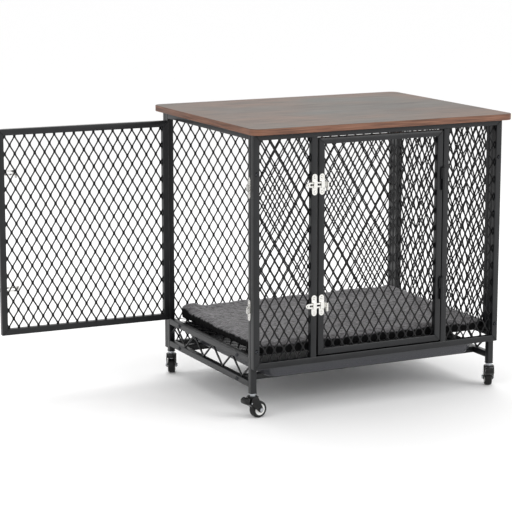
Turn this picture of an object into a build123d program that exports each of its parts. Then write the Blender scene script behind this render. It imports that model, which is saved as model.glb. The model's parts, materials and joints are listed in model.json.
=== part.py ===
"""Furniture-style wire dog crate: a board top on a steel tube cage with expanded-mesh panels,
a front door, a large side door, slide-bolt latches, a mesh floor with a pad, a pull-out tray
and four swivel casters.

Millimetres.  The crate is drawn with X to the right along its front, Y to the back and Z up
from the floor, with X = Y = 0 under the middle of the board.  The side door is drawn closed and
then swung open, and place() puts the origin under the middle of the whole open crate."""
from build123d import *
from math import hypot, radians, sin
import os

os.makedirs("parts", exist_ok=True)

# ---------------------------------------------------------------- driving dimensions
TABLE_W, TABLE_D, TABLE_T = 700, 568, 15    # board top
TABLE_TOP = 685                             # its upper face above the floor
TABLE_CORNER_R, TABLE_EDGE_R = 22, 1.2

TUBE, WALL = 15, 1.2                        # square steel tube
FRAME_W, FRAME_D = 670, 510                 # outside of the cage
FRAME_TOP = TABLE_TOP - TABLE_T
LEG_BOTTOM = 62
FRONT_BOTTOM, REAR_BOTTOM = 120, 67         # lower edges of the front and rear panels
LOWER_RAIL_Z, UPPER_RAIL_Z = 74, 131        # undersides of the two side rails
CROSS_Y = 165                               # cross tubes stand this far from the middle

MULLION_X = 171                             # inner face of each front mullion
FRONT_DOOR_GAP_LATCH, FRONT_DOOR_GAP_HINGE = 4.5, 2
DOOR_GAP_BOTTOM, DOOR_GAP_TOP = 3.2, 2.5
SIDE_DOOR_GAP = 6                           # at both upright edges of the side door
SIDE_DOOR_OPEN = 92                         # degrees open where the crate is drawn

MESH_PITCH_U, MESH_PITCH_V = 25, 42.5       # diamond width and height, centre to centre
MESH_STRAND, MESH_T, MESH_EDGE = 3.4, 2.0, 1.6

TRUSS_PITCH, TRUSS_FIRST, WIRE_R = 107, -231, 2.4

SCREW_R, SCREW_HEAD_R, SCREW_HEAD_T, SCREW_BITE = 2, 4, 2, 9    # board screws
SCREW_LONG_RAIL_X = 250                     # outer screws along the front and rear rails
FRAME_BOLT_R, FRAME_BOLT_HEAD_R, FRAME_BOLT_HEAD_T, FRAME_BOLT_REACH = 3, 5, 3, 24
FRAME_BOLT_SOCKET_R, FRAME_BOLT_SOCKET_DEPTH = 2, 1.6
PANEL_BOLT_HEIGHTS = (164, 578)
CROSS_TUBE_PLUG = 12                        # threaded insert in each end of a cross tube

HINGE_R, HINGE_PIN_R, KNUCKLE_LEN, KNUCKLE_GAP = 4.5, 2.5, 27, 0.6
HINGE_WEB = 2.5                             # weld web beyond the barrel, on the tube's face
PIN_HEAD_H, PIN_HEAD_RIM, PIN_STAND = 1.6, 1, 0.5
HINGE_RUNNING = 0.06                        # radial clearance of a door knuckle on its pin
HINGE_HEIGHTS = (268, 535)

LATCH_HEIGHTS = (259, 545)
LATCH_TRAVEL = 31
PLATE_T, PLATE_H, PLATE_W = 1.5, 50, 13.4
BRIDGE_W, BRIDGE_T = 9, 1.4
SLIDE_T, SLIDE_H, SLIDE_PLAY = 3, 12, 0.4   # the flat bolt and its room in the bridges
SLIDE_TIP, SLIDE_END, SLIDE_TAPER, SLIDE_TIP_HOLE_R = -35.5, 16.5, 7, 1.5
SLOT_R, STOP_RIVET_R, STOP_RIVET_PLAY = 2.3, 1.8, 0.4
RIVET_HEAD_R, RIVET_HEAD_H, RIVET_INSET = 3.4, 1.5, 7.5
FINGER_TAB_W, FINGER_TAB_OUT, FINGER_TAB_DROP = 3, 8, 14

TRAY_W, TRAY_D, TRAY_BOTTOM, TRAY_H, TRAY_T = 560, 446, 89.6, 27, 2.2
TRAY_STEP, TRAY_STEP_UP, TRAY_CORNER_R, TRAY_FOOT_R = 6, 10, 28, 5    # the walls step out above the foot
PAD_W, PAD_D, PAD_T, PAD_RIM_H, PAD_RIM_W = 628, 474, 15, 32, 30
PAD_CORNER_R, PAD_DISH_CORNER_R = 20, 15

WHEEL_R, WHEEL_W, CASTER_TRAIL = 20, 18, 16
CASTER_YAW = {                              # direction of each caster's trail, degrees from +X
    "front_left": 11, "front_right": 62, "rear_left": 64, "rear_right": 118,
}
BRAKED = ("front_left", "front_right")
STEM_R, STEM_RUNNING, STEM_HEAD_R = 4, 0.06, 6
STEM_NUT_R, STEM_NUT_H, STEM_WASHER_R = 7, 3.6, 8.5
CROWN_Z0, CROWN_Z1, CROWN_R = 43, 54, 12
ARM_IN, ARM_T = WHEEL_W / 2 + 1.2, 2.4
ARM_TOP_R, ARM_AXLE_R, ARM_BRAKE_R = 11, 6.5, 4.2
AXLE_R, AXLE_RUNNING, AXLE_HEAD_R, AXLE_NUT_R = 2.5, 0.06, 4.4, 4.6
HUB_R, HUB_BOSS_R, HUB_RECESS, HUB_EDGE = 13.5, 5, 2.2, 0.6
BRAKE_PIN = (-10, 39)                       # along the trail, and above the floor
BRAKE_PIN_R = 1.6
LEG_PLUG_FLANGE, LEG_PLUG_DEPTH = 2, 20

# ---------------------------------------------------------------- derived sizes
HALF_W, HALF_D = FRAME_W / 2, FRAME_D / 2
POST_Y = HALF_D - TUBE                      # posts stand just inside the front and rear panels
BAY_Y = POST_Y - TUBE                       # half the clear bay between front and rear posts
POST_CENTRE = (HALF_W - TUBE / 2, POST_Y - TUBE / 2)
CORNERS = {
    "front_left": (-1, -1), "front_right": (1, -1), "rear_left": (-1, 1), "rear_right": (1, 1),
}
CROSS_BOLT_HEIGHTS = (LOWER_RAIL_Z + TUBE / 2, UPPER_RAIL_Z + TUBE / 2)
LATCH_EDGE_X = -MULLION_X + FRONT_DOOR_GAP_LATCH
HINGE_EDGE_X = MULLION_X - FRONT_DOOR_GAP_HINGE
FRONT_DOOR_Z = (FRONT_BOTTOM + TUBE + DOOR_GAP_BOTTOM, FRAME_TOP - TUBE - DOOR_GAP_TOP)
SIDE_DOOR_Z = (UPPER_RAIL_Z + TUBE + DOOR_GAP_BOTTOM, FRAME_TOP - TUBE - DOOR_GAP_TOP)
SIDE_DOOR_Y = BAY_Y - SIDE_DOOR_GAP
FRONT_HINGE = (MULLION_X - FRONT_DOOR_GAP_HINGE / 2, -HALF_D - HINGE_R)
SIDE_HINGE = (-HALF_W - HINGE_R, BAY_Y - SIDE_DOOR_GAP / 2)
STOP_RIVET_U = TUBE / 2                     # the stop rivet stands on the door stile's middle
DOOR_TIP_X = SIDE_HINGE[0] - (SIDE_HINGE[1] + SIDE_DOOR_Y) * sin(radians(SIDE_DOOR_OPEN))
ORIGIN_X = (DOOR_TIP_X + TABLE_W / 2) / 2   # middle of the open crate


# ---------------------------------------------------------------- helpers
def block(x0, x1, y0, y1, z0, z1):
    """Box between two corners."""
    middle = Pos((x0 + x1) / 2, (y0 + y1) / 2, (z0 + z1) / 2)
    return middle * Box(abs(x1 - x0), abs(y1 - y0), abs(z1 - z0))


def rod(start, end, radius):
    """Cylinder between two points."""
    a, b = Vector(start), Vector(end)
    plane = Plane(origin=a, z_dir=b - a)
    return extrude(plane * Circle(radius), amount=(b - a).length)


def square_tube(x0, x1, y0, y1, z0, z1, along, wall=WALL):
    """Hollow square tube, open at both ends of the axis that along names."""
    inset = {"x": (0, wall, wall), "y": (wall, 0, wall), "z": (wall, wall, 0)}[along]
    a, b, c = inset
    return block(x0, x1, y0, y1, z0, z1) - block(x0 + a, x1 - a, y0 + b, y1 - b, z0 + c, z1 - c)


def mitred_frame(x0, x1, z0, z1, y0):
    """Four hollow tubes in the XZ plane, mitred at their corners, with their front at y0."""
    tubes = []
    corners = [(x0, z0), (x1, z0), (x1, z1), (x0, z1)]
    inward = [(1, 1), (-1, 1), (-1, -1), (1, -1)]
    for i in range(4):
        j = (i + 1) % 4

        def outline(near, far):
            points = []
            for corner, depth in ((i, near), (j, near), (j, far), (i, far)):
                (x, z), (sx, sz) = corners[corner], inward[corner]
                points.append((x + sx * depth, z + sz * depth))
            return points

        outer = prism(outline(0, TUBE), y0, y0 + TUBE)
        inner = prism(outline(WALL, TUBE - WALL), y0 + WALL, y0 + TUBE - WALL)
        tubes.append(outer - inner)
    return tubes


def prism(points_xz, y0, y1):
    """Polygon in the XZ plane, extruded from y0 to y1."""
    wire = Wire.make_polygon([(x, y0, z) for x, z in points_xz], close=True)
    return Solid.extrude(Face(wire), Vector(0, y1 - y0, 0))


def clip(points, axis, limit, sign):
    """Cut a convex polygon at one side of a rectangle."""
    kept = []
    for a, b in zip(points, points[1:] + points[:1]):
        da, db = sign * (limit - a[axis]), sign * (limit - b[axis])
        if da >= 0:
            kept.append(a)
        if da * db < 0:
            t = da / (da - db)
            kept.append(tuple(p + (q - p) * t for p, q in zip(a, b)))
    return kept


def polygon_area(points):
    pairs = zip(points, points[1:] + points[:1])
    return abs(sum(a[0] * b[1] - b[0] * a[1] for a, b in pairs)) / 2


def expanded_sheet(width, height):
    """Expanded steel mesh in the XZ plane, centred on the origin, with a narrow plain edge."""
    half_u, half_v = MESH_PITCH_U / 2, MESH_PITCH_V / 2
    strand_spacing = 2 * half_u * half_v / hypot(half_u, half_v)
    open_part = 1 - MESH_STRAND / strand_spacing
    du, dv = half_u * open_part, half_v * open_part
    edge_u, edge_v = width / 2 - MESH_EDGE, height / 2 - MESH_EDGE
    smallest_hole = 12
    holes = []
    columns, rows = int(width / half_u / 2) + 1, int(height / half_v / 2) + 1
    for i in range(-columns, columns + 1):
        for j in range(-rows, rows + 1):
            if (i + j) % 2:
                continue
            u, v = i * half_u, j * half_v
            hole = [(u - du, v), (u, v - dv), (u + du, v), (u, v + dv)]
            for axis, limit in ((0, edge_u), (1, edge_v)):
                for sign in (1, -1):
                    hole = clip(hole, axis, sign * limit, sign)
            if len(hole) > 2 and polygon_area(hole) > smallest_hole:
                holes.append(Wire.make_polygon([(p, 0, q) for p, q in hole], close=True))
    w, h = width / 2, height / 2
    rim = Wire.make_polygon([(-w, 0, -h), (w, 0, -h), (w, 0, h), (-w, 0, h)], close=True)
    sheet = Solid.extrude(Face(rim, holes), Vector(0, MESH_T, 0))
    return Pos(0, -MESH_T / 2, 0) * sheet


def sheet_between(x0, x1, z0, z1, y):
    """Expanded mesh that fills the opening x0..x1, z0..z1 at depth y."""
    return Pos((x0 + x1) / 2, y, (z0 + z1) / 2) * expanded_sheet(x1 - x0, z1 - z0)


def quarter_turn(shape, x):
    """Turn a shape drawn on the plane Y = 0 so that it stands on the plane X = x."""
    return Pos(x, 0, 0) * Rot(0, 0, 90) * shape


def drill(solids, start, end, radius):
    """Bore one hole through whichever of the solids it meets."""
    tool = rod(start, end, radius)
    return [solid - tool for solid in solids]


def place(shape):
    return Pos(-ORIGIN_X, 0, 0) * shape


def write(name, shapes):
    """Write a node: one solid, or a group of separate solids."""
    solids = []
    for shape in shapes if isinstance(shapes, (list, tuple)) else [shapes]:
        solids.extend(place(shape).solids())
    export_step(solids[0] if len(solids) == 1 else Compound(solids), f"parts/{name}.step")


def swing_open(shape):
    """Carry a piece of the closed side door to where the open door stands."""
    hinge = Pos(SIDE_HINGE[0], SIDE_HINGE[1], 0)
    return hinge * Rot(0, 0, -SIDE_DOOR_OPEN) * hinge.inverse() * shape


# ---------------------------------------------------------------- board top and its screws
def table_screw_places():
    y = HALF_D - TUBE / 2
    along = (-SCREW_LONG_RAIL_X, 0, SCREW_LONG_RAIL_X)
    places = [(x, side * y) for side in (-1, 1) for x in along]
    return places + [(side * POST_CENTRE[0], 0) for side in (-1, 1)]


def table_top():
    outline = RectangleRounded(TABLE_W, TABLE_D, TABLE_CORNER_R)
    board = extrude(Plane.XY.offset(FRAME_TOP) * outline, TABLE_T)
    rims = board.edges().group_by(Axis.Z)
    board = fillet(rims[0] + rims[-1], TABLE_EDGE_R)
    for x, y in table_screw_places():
        board -= rod((x, y, FRAME_TOP), (x, y, FRAME_TOP + SCREW_BITE), SCREW_R)
    return board


def table_screws():
    screws = []
    seat = FRAME_TOP - WALL
    for x, y in table_screw_places():
        shank = rod((x, y, seat), (x, y, FRAME_TOP + SCREW_BITE), SCREW_R)
        screws.append(shank + rod((x, y, seat - SCREW_HEAD_T), (x, y, seat), SCREW_HEAD_R))
    return screws


def with_screw_holes(tubes):
    """Access hole in a top rail's lower wall and a screw hole in its upper wall."""
    access_r = SCREW_HEAD_R + 0.6
    for x, y in table_screw_places():
        rail_z = FRAME_TOP - TUBE
        tubes = drill(tubes, (x, y, rail_z - 1), (x, y, rail_z + 3), access_r)
        tubes = drill(tubes, (x, y, FRAME_TOP - 3), (x, y, FRAME_TOP + 1), SCREW_R)
    return tubes


# ---------------------------------------------------------------- frame bolts
def frame_bolt_lines():
    """Start (under the head) and end of every frame bolt."""
    lines = []
    for sx in (-1, 1):
        for sy in (-1, 1):
            x = sx * POST_CENTRE[0]
            for z in PANEL_BOLT_HEIGHTS:
                lines.append(((x, sy * HALF_D, z), (x, sy * (HALF_D - FRAME_BOLT_REACH), z)))
            for z in CROSS_BOLT_HEIGHTS:
                y, end_x = sy * CROSS_Y, sx * (HALF_W - FRAME_BOLT_REACH)
                lines.append(((sx * HALF_W, y, z), (end_x, y, z)))
    return lines


def frame_bolts():
    bolts = []
    for start, end in frame_bolt_lines():
        out = (Vector(start) - Vector(end)).normalized()
        head_plane = Plane(origin=Vector(start), z_dir=out)
        head = extrude(head_plane * Circle(FRAME_BOLT_HEAD_R), amount=FRAME_BOLT_HEAD_T, taper=25)
        socket_plane = head_plane.offset(FRAME_BOLT_HEAD_T - FRAME_BOLT_SOCKET_DEPTH)
        socket = extrude(socket_plane * RegularPolygon(FRAME_BOLT_SOCKET_R, 6), amount=3)
        bolts.append(rod(start, end, FRAME_BOLT_R) + head - socket)
    return bolts


def with_bolt_holes(tubes):
    for start, end in frame_bolt_lines():
        tubes = drill(tubes, start, end, FRAME_BOLT_R)
    return tubes


# ---------------------------------------------------------------- cage
def panel_frame(z0, y0, mullions=()):
    """Front or rear panel: a mitred frame with optional upright mullions."""
    tubes = mitred_frame(-HALF_W, HALF_W, z0, FRAME_TOP, y0)
    for x0 in mullions:
        tubes.append(square_tube(x0, x0 + TUBE, y0, y0 + TUBE, z0 + TUBE, FRAME_TOP - TUBE, "z"))
    return with_bolt_holes(with_screw_holes(tubes))


def right_panel_frame():
    flat = mitred_frame(-BAY_Y, BAY_Y, UPPER_RAIL_Z + TUBE, FRAME_TOP, 0)
    return with_screw_holes([quarter_turn(tube, HALF_W) for tube in flat])


def post(sx, sy):
    x, y = sx * POST_CENTRE[0], sy * POST_CENTRE[1]
    r = TUBE / 2
    tube = square_tube(x - r, x + r, y - r, y + r, LEG_BOTTOM, FRAME_TOP, "z")
    return with_bolt_holes([tube])


def side_rails(z0):
    rails = []
    for sx in (-1, 1):
        x = sx * POST_CENTRE[0]
        rails.append(square_tube(x - TUBE / 2, x + TUBE / 2, -BAY_Y, BAY_Y, z0, z0 + TUBE, "y"))
    return with_bolt_holes(rails)


def top_rail_left():
    x0 = -HALF_W
    rail = square_tube(x0, x0 + TUBE, -BAY_Y, BAY_Y, FRAME_TOP - TUBE, FRAME_TOP, "y")
    return with_screw_holes([rail])


def cross_tubes(z0):
    """Two tubes between the side rails, with plugged ends that the frame bolts screw into."""
    inner = HALF_W - TUBE
    room = inner - CROSS_TUBE_PLUG
    tubes = []
    for sy in (-1, 1):
        y0, y1 = sy * CROSS_Y - TUBE / 2, sy * CROSS_Y + TUBE / 2
        hollow = block(-room, room, y0 + WALL, y1 - WALL, z0 + WALL, z0 + TUBE - WALL)
        tubes.append(block(-inner, inner, y0, y1, z0, z0 + TUBE) - hollow)
    return with_bolt_holes(tubes)


def truss_wires():
    """Zigzag wire between the lower and upper side rails, on both sides."""
    low, high = LOWER_RAIL_Z + TUBE, UPPER_RAIL_Z
    turns = int((BAY_Y - TRUSS_FIRST) / (TRUSS_PITCH / 2)) + 2
    wires = []
    for x in (-POST_CENTRE[0], POST_CENTRE[0]):
        bay = block(x - TUBE / 2, x + TUBE / 2, -BAY_Y, BAY_Y, low, high)
        points = [(x, TRUSS_FIRST + i * TRUSS_PITCH / 2, low if i % 2 else high)
                  for i in range(turns)]
        wire = None
        for a, b in zip(points, points[1:]):
            leg = rod(a, b, WIRE_R)
            wire = leg if wire is None else wire + leg
            wire += Pos(*b) * Sphere(WIRE_R)
        wires.append(wire & bay)
    return wires


def leg_plugs():
    """Plastic insert in the foot of each post, bored for the caster's stem."""
    r, fit = TUBE / 2, TUBE / 2 - WALL
    bottom, top = LEG_BOTTOM - LEG_PLUG_FLANGE, LEG_BOTTOM + LEG_PLUG_DEPTH
    plug = block(-fit, fit, -fit, fit, LEG_BOTTOM, top) + block(-r, r, -r, r, bottom, LEG_BOTTOM)
    plug -= rod((0, 0, bottom), (0, 0, top), STEM_R)
    return [Pos(sx * POST_CENTRE[0], sy * POST_CENTRE[1], 0) * plug for sx, sy in CORNERS.values()]


# ---------------------------------------------------------------- mesh panels
def front_meshes():
    y = -HALF_D + TUBE / 2
    z0, z1 = FRONT_BOTTOM + TUBE, FRAME_TOP - TUBE
    inner, outer = MULLION_X + TUBE, HALF_W - TUBE
    return sheet_between(-outer, -inner, z0, z1, y), sheet_between(inner, outer, z0, z1, y)


def rear_mesh():
    outer = HALF_W - TUBE
    return sheet_between(-outer, outer, REAR_BOTTOM + TUBE, FRAME_TOP - TUBE, HALF_D - TUBE / 2)


def right_mesh():
    half = BAY_Y - TUBE
    flat = sheet_between(-half, half, UPPER_RAIL_Z + 2 * TUBE, FRAME_TOP - TUBE, 0)
    return quarter_turn(flat, HALF_W - TUBE / 2)


def floor_mesh():
    width, depth = FRAME_W - 2 * TUBE - 2, 2 * BAY_Y - 2
    sheet = expanded_sheet(width, depth)
    return Pos(0, 0, UPPER_RAIL_Z + TUBE + MESH_T / 2) * Rot(90, 0, 0) * sheet


# ---------------------------------------------------------------- doors and hinges
def front_door():
    z0, z1 = FRONT_DOOR_Z
    y0 = -HALF_D
    frame = mitred_frame(LATCH_EDGE_X, HINGE_EDGE_X, z0, z1, y0)
    mesh = sheet_between(LATCH_EDGE_X + TUBE, HINGE_EDGE_X - TUBE, z0 + TUBE, z1 - TUBE,
                         y0 + TUBE / 2)
    return frame, mesh


def side_door():
    z0, z1 = SIDE_DOOR_Z
    frame = mitred_frame(-SIDE_DOOR_Y, SIDE_DOOR_Y, z0, z1, 0)
    mesh = sheet_between(-SIDE_DOOR_Y + TUBE, SIDE_DOOR_Y - TUBE, z0 + TUBE, z1 - TUBE, TUBE / 2)
    turned = [quarter_turn(tube, -HALF_W + TUBE) for tube in frame]
    return turned, quarter_turn(mesh, -HALF_W + TUBE)


def knuckle(axis_xy, z0, bore, toward, face):
    """Hinge barrel of one knuckle, with the web that welds it to a tube's outer face.

    toward is the direction along the face from the axis to the tube, and face is the direction
    from the axis to the face."""
    x, y = axis_xy
    z1 = z0 + KNUCKLE_LEN
    near, far = HINGE_PIN_R, HINGE_R + HINGE_WEB
    x_sides = sorted((x + toward[0] * near, x + toward[0] * far + face[0] * HINGE_R))
    y_sides = sorted((y + toward[1] * near, y + toward[1] * far + face[1] * HINGE_R))
    web = block(*x_sides, *y_sides, z0, z1)
    barrel = rod((x, y, z0), (x, y, z1), HINGE_R)
    return barrel + web - rod((x, y, z0), (x, y, z1), bore)


def hinges():
    """Frame knuckles with their pins, and the knuckles of each door above them."""
    frame_side, pins, front_side, side_side = [], [], [], []
    running = HINGE_PIN_R + HINGE_RUNNING
    for middle in HINGE_HEIGHTS:
        low = middle - KNUCKLE_LEN - KNUCKLE_GAP / 2
        high = middle + KNUCKLE_GAP / 2
        frame_side.append(knuckle(FRONT_HINGE, low, HINGE_PIN_R, (1, 0), (0, 1)))
        frame_side.append(knuckle(SIDE_HINGE, low, HINGE_PIN_R, (0, 1), (1, 0)))
        front_side.append(knuckle(FRONT_HINGE, high, running, (-1, 0), (0, 1)))
        side_side.append(knuckle(SIDE_HINGE, high, running, (0, -1), (1, 0)))
        for x, y in (FRONT_HINGE, SIDE_HINGE):
            top = high + KNUCKLE_LEN + PIN_STAND
            pin = rod((x, y, low), (x, y, top), HINGE_PIN_R)
            head = rod((x, y, top), (x, y, top + PIN_HEAD_H), HINGE_PIN_R + PIN_HEAD_RIM)
            pins.append(pin + head)
    return frame_side, pins, front_side, side_side


# ---------------------------------------------------------------- slide-bolt latches
# A latch is drawn flat: U along the bolt from the keeper to the door, with U = 0 at the door's
# edge, Y = 0 on the tube's face and -Y outward, and Z = 0 on the bolt's centre line.
def latch_plate(middle):
    """Round-ended plate with a raised bridge that the bolt slides through."""
    end_r = PLATE_W / 2
    straight = PLATE_H / 2 - end_r
    plate = block(middle - end_r, middle + end_r, -PLATE_T, 0, -straight, straight)
    for z in (-straight, straight):
        plate += rod((middle, -PLATE_T, z), (middle, 0, z), end_r)
    inner_y = PLATE_T + SLIDE_T + 2 * SLIDE_PLAY
    inner_z = SLIDE_H / 2 + SLIDE_PLAY
    u0, u1 = middle - BRIDGE_W / 2, middle + BRIDGE_W / 2
    outer_z = inner_z + BRIDGE_T
    bridge = block(u0, u1, -inner_y - BRIDGE_T, -PLATE_T, -outer_z, outer_z)
    return plate + (bridge - block(u0, u1, -inner_y, -PLATE_T, -inner_z, inner_z))


def plate_rivets(middle):
    """Dome-headed rivets at the top and bottom of a latch plate."""
    rivets = []
    for side in (-1, 1):
        z = side * (PLATE_H / 2 - RIVET_INSET)
        plane = Plane(origin=(middle, -PLATE_T, z), z_dir=(0, -1, 0))
        rivets.append(extrude(plane * Circle(RIVET_HEAD_R), amount=RIVET_HEAD_H, taper=35))
    return rivets


def stop_rivet():
    """Rivet across the door's bridge, in the bolt's slot, that limits the bolt's travel."""
    depth = PLATE_T + SLIDE_T + 2 * SLIDE_PLAY
    return rod((STOP_RIVET_U, -depth, 0), (STOP_RIVET_U, -PLATE_T, 0), STOP_RIVET_R)


def keeper_parts():
    middle = -FRONT_DOOR_GAP_LATCH - TUBE / 2
    return [latch_plate(middle)] + plate_rivets(middle)


def latch_body_parts():
    return [latch_plate(STOP_RIVET_U) + stop_rivet()] + plate_rivets(STOP_RIVET_U)


def slide_bolt():
    """Slotted flat bolt with a drilled tapered tip and a bent finger tab."""
    front, back = -PLATE_T - SLIDE_PLAY - SLIDE_T, -PLATE_T - SLIDE_PLAY
    half, tip_half = SLIDE_H / 2, SLIDE_H * 0.225
    shoulder = SLIDE_TIP + SLIDE_TAPER
    outline = [(SLIDE_TIP, -tip_half), (shoulder, -half), (SLIDE_END, -half),
               (SLIDE_END, half), (shoulder, half), (SLIDE_TIP, tip_half)]
    bolt = prism(outline, front, back)
    spare = STOP_RIVET_R + STOP_RIVET_PLAY - SLOT_R
    slot_start, slot_end = STOP_RIVET_U - LATCH_TRAVEL - spare, STOP_RIVET_U + spare
    bolt -= block(slot_start, slot_end, front, back, -SLOT_R, SLOT_R)
    for u in (slot_start, slot_end):
        bolt -= rod((u, front, 0), (u, back, 0), SLOT_R)
    hole_u = SLIDE_TIP + 0.6 * SLIDE_TAPER
    bolt -= rod((hole_u, front, 0), (hole_u, back, 0), SLIDE_TIP_HOLE_R)
    tab_end = SLIDE_END + FINGER_TAB_W
    bolt += block(SLIDE_END, tab_end, front - FINGER_TAB_OUT, back, -FINGER_TAB_DROP, half)
    return bolt


def on_front(shape, z):
    return Pos(LATCH_EDGE_X, -HALF_D, z) * shape


def on_side(shape, z):
    """The same latch handed over, on the left face of the side door and its post."""
    handed = Rot(0, 0, -90) * mirror(shape, about=Plane.YZ)
    return Pos(-HALF_W, -SIDE_DOOR_Y, z) * handed


def side_keeper(z):
    """The side door's gap is wider, so its keeper sits that much further from its edge."""
    shift = FRONT_DOOR_GAP_LATCH - SIDE_DOOR_GAP
    return [on_side(Pos(shift, 0, 0) * part, z) for part in keeper_parts()]


# ---------------------------------------------------------------- tray and pad
def rounded_slab(width, depth, corner_r, z0, height):
    """Upright prism with rounded corners, centred on X = Y = 0."""
    return extrude(Plane.XY.offset(z0) * RectangleRounded(width, depth, corner_r), height)


def lower_edges_rounded(slab, radius):
    return fillet(slab.edges().group_by(Axis.Z)[0], radius)


def tray():
    step_z, wall_h = TRAY_BOTTOM + TRAY_STEP_UP, TRAY_H - TRAY_STEP_UP
    foot = rounded_slab(TRAY_W, TRAY_D, TRAY_CORNER_R, TRAY_BOTTOM, TRAY_H)
    wall = rounded_slab(TRAY_W + 2 * TRAY_STEP, TRAY_D + 2 * TRAY_STEP, TRAY_CORNER_R + TRAY_STEP,
                        step_z, wall_h)
    foot_room = rounded_slab(TRAY_W - 2 * TRAY_T, TRAY_D - 2 * TRAY_T, TRAY_CORNER_R - TRAY_T,
                             TRAY_BOTTOM + TRAY_T, TRAY_H)
    inset = TRAY_STEP - TRAY_T
    wall_room = rounded_slab(TRAY_W + 2 * inset, TRAY_D + 2 * inset, TRAY_CORNER_R + inset,
                             step_z + TRAY_T, wall_h)
    shell = lower_edges_rounded(foot, TRAY_FOOT_R) + wall
    return shell - lower_edges_rounded(foot_room, TRAY_FOOT_R - TRAY_T) - wall_room


def pad():
    """Flat pad with a raised border all round."""
    z0 = UPPER_RAIL_Z + TUBE + MESH_T
    slab = rounded_slab(PAD_W, PAD_D, PAD_CORNER_R, z0, PAD_RIM_H)
    dish = rounded_slab(PAD_W - 2 * PAD_RIM_W, PAD_D - 2 * PAD_RIM_W, PAD_DISH_CORNER_R,
                        z0 + PAD_T, PAD_RIM_H)
    return slab - dish


# ---------------------------------------------------------------- casters
def caster_stem():
    """Fixed stem: head under the crown, collar nut above it, shank up into the leg plug."""
    head = rod((0, 0, CROWN_Z0 - 2.3), (0, 0, CROWN_Z0 - 0.3), STEM_HEAD_R)
    shank = rod((0, 0, CROWN_Z0 - 1), (0, 0, LEG_BOTTOM + 16), STEM_R)
    nut_z = CROWN_Z1 + 0.4
    nut = extrude(Plane.XY.offset(nut_z) * RegularPolygon(STEM_NUT_R, 6), STEM_NUT_H)
    washer = rod((0, 0, nut_z + STEM_NUT_H), (0, 0, LEG_BOTTOM - LEG_PLUG_FLANGE), STEM_WASHER_R)
    return head + shank + nut + washer


def caster_fork(name):
    """Crown and two arms, drawn with the wheel trailing towards +X."""
    circles = [((0, CROWN_Z1 - ARM_TOP_R), ARM_TOP_R), ((CASTER_TRAIL, WHEEL_R), ARM_AXLE_R)]
    if name in BRAKED:
        circles.append((BRAKE_PIN, ARM_BRAKE_R))
    outline = make_hull([Edge.make_circle(r, Plane(origin=(x, z, 0))) for (x, z), r in circles])
    fork = block(3 - CROWN_R, CROWN_R - 2, -ARM_IN, ARM_IN, CROWN_Z0, CROWN_Z1 - 0.6)
    fork += rod((0, 0, CROWN_Z0), (0, 0, CROWN_Z1), CROWN_R)
    for arm_y in (ARM_IN + ARM_T, -ARM_IN):
        arm_plane = Plane(origin=(0, arm_y, 0), x_dir=(1, 0, 0), z_dir=(0, -1, 0))
        fork += extrude(arm_plane * outline, amount=ARM_T)
    fork -= rod((0, 0, CROWN_Z0 - 5), (0, 0, CROWN_Z1 + 1), STEM_R + STEM_RUNNING)
    reach = ARM_IN + ARM_T + 1
    fork -= rod((CASTER_TRAIL, -reach, WHEEL_R), (CASTER_TRAIL, reach, WHEEL_R), AXLE_R)
    if name in BRAKED:
        x, z = BRAKE_PIN
        fork -= rod((x, -reach, z), (x, reach, z), BRAKE_PIN_R)
    return fork


def caster_axle(name):
    """Axle bolt with its head and nut, and the brake's pin where there is one."""
    side = ARM_IN + ARM_T
    x, z = CASTER_TRAIL, WHEEL_R
    axle = rod((x, -side - 2, z), (x, side + 2, z), AXLE_R)
    axle += rod((x, -side - 2.6, z), (x, -side, z), AXLE_HEAD_R)
    nut_plane = Plane(origin=(x, side, z), z_dir=(0, 1, 0))
    axle += extrude(nut_plane * RegularPolygon(AXLE_NUT_R, 6), amount=3)
    pieces = [axle]
    if name in BRAKED:
        x, z = BRAKE_PIN
        pieces.append(rod((x, -side, z), (x, side, z), BRAKE_PIN_R))
    return pieces


def wheel_turned(half_profile):
    """Revolve a half profile, (radius, distance from the wheel's middle), about the axle."""
    x, z = CASTER_TRAIL, WHEEL_R
    points = [(x, -y, z + r) for r, y in half_profile]
    points += [(x, y, z + r) for r, y in reversed(half_profile)]
    face = Face(Wire.make_polygon(points, close=True))
    return revolve(face, Axis((x, 0, z), (0, 1, 0)), 360)


def caster_hub():
    """White disc wheel centre, recessed between its boss and its rim on both sides."""
    w = WHEEL_W / 2
    web, edge = w - HUB_RECESS, w - HUB_EDGE
    return wheel_turned([
        (AXLE_R + AXLE_RUNNING, w), (HUB_BOSS_R, w), (HUB_BOSS_R + 1, web),
        (HUB_R - 2.5, web), (HUB_R - 1.5, edge), (HUB_R, edge),
    ])


def caster_tyre():
    """Tread ring with rounded shoulders."""
    w, r = WHEEL_W / 2, WHEEL_R
    return wheel_turned([
        (HUB_R, w - HUB_EDGE), (r - 3.4, w), (r - 1.4, w - 0.8), (r - 0.3, w - 2.8), (r, w - 5),
    ])


def caster_brake():
    """Pedal outside the fork and shoe over the wheel, on one pivot."""
    x, z = BRAKE_PIN
    half = ARM_IN - 0.5
    outline = [(x - 15, z - 1), (x - 17.5, z + 3.5), (x - 17.5, z + 9), (x - 14, z + 12.5),
               (x - 8, z + 13.5), (x - 3.6, z + 12), (x - 3.2, z + 3.4), (x + 3.2, z + 3.2),
               (x + 3.2, z - 3), (x + 5.4, z - 8.5), (x + 2.2, z - 9.5), (x - 3.2, z - 3.2)]
    lever = prism(outline, -half, half)
    return lever - rod((x, -half, z), (x, half, z), BRAKE_PIN_R + 0.06)


def caster_at(name, shape):
    sx, sy = CORNERS[name]
    return Pos(sx * POST_CENTRE[0], sy * POST_CENTRE[1], 0) * Rot(0, 0, CASTER_YAW[name]) * shape


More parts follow.
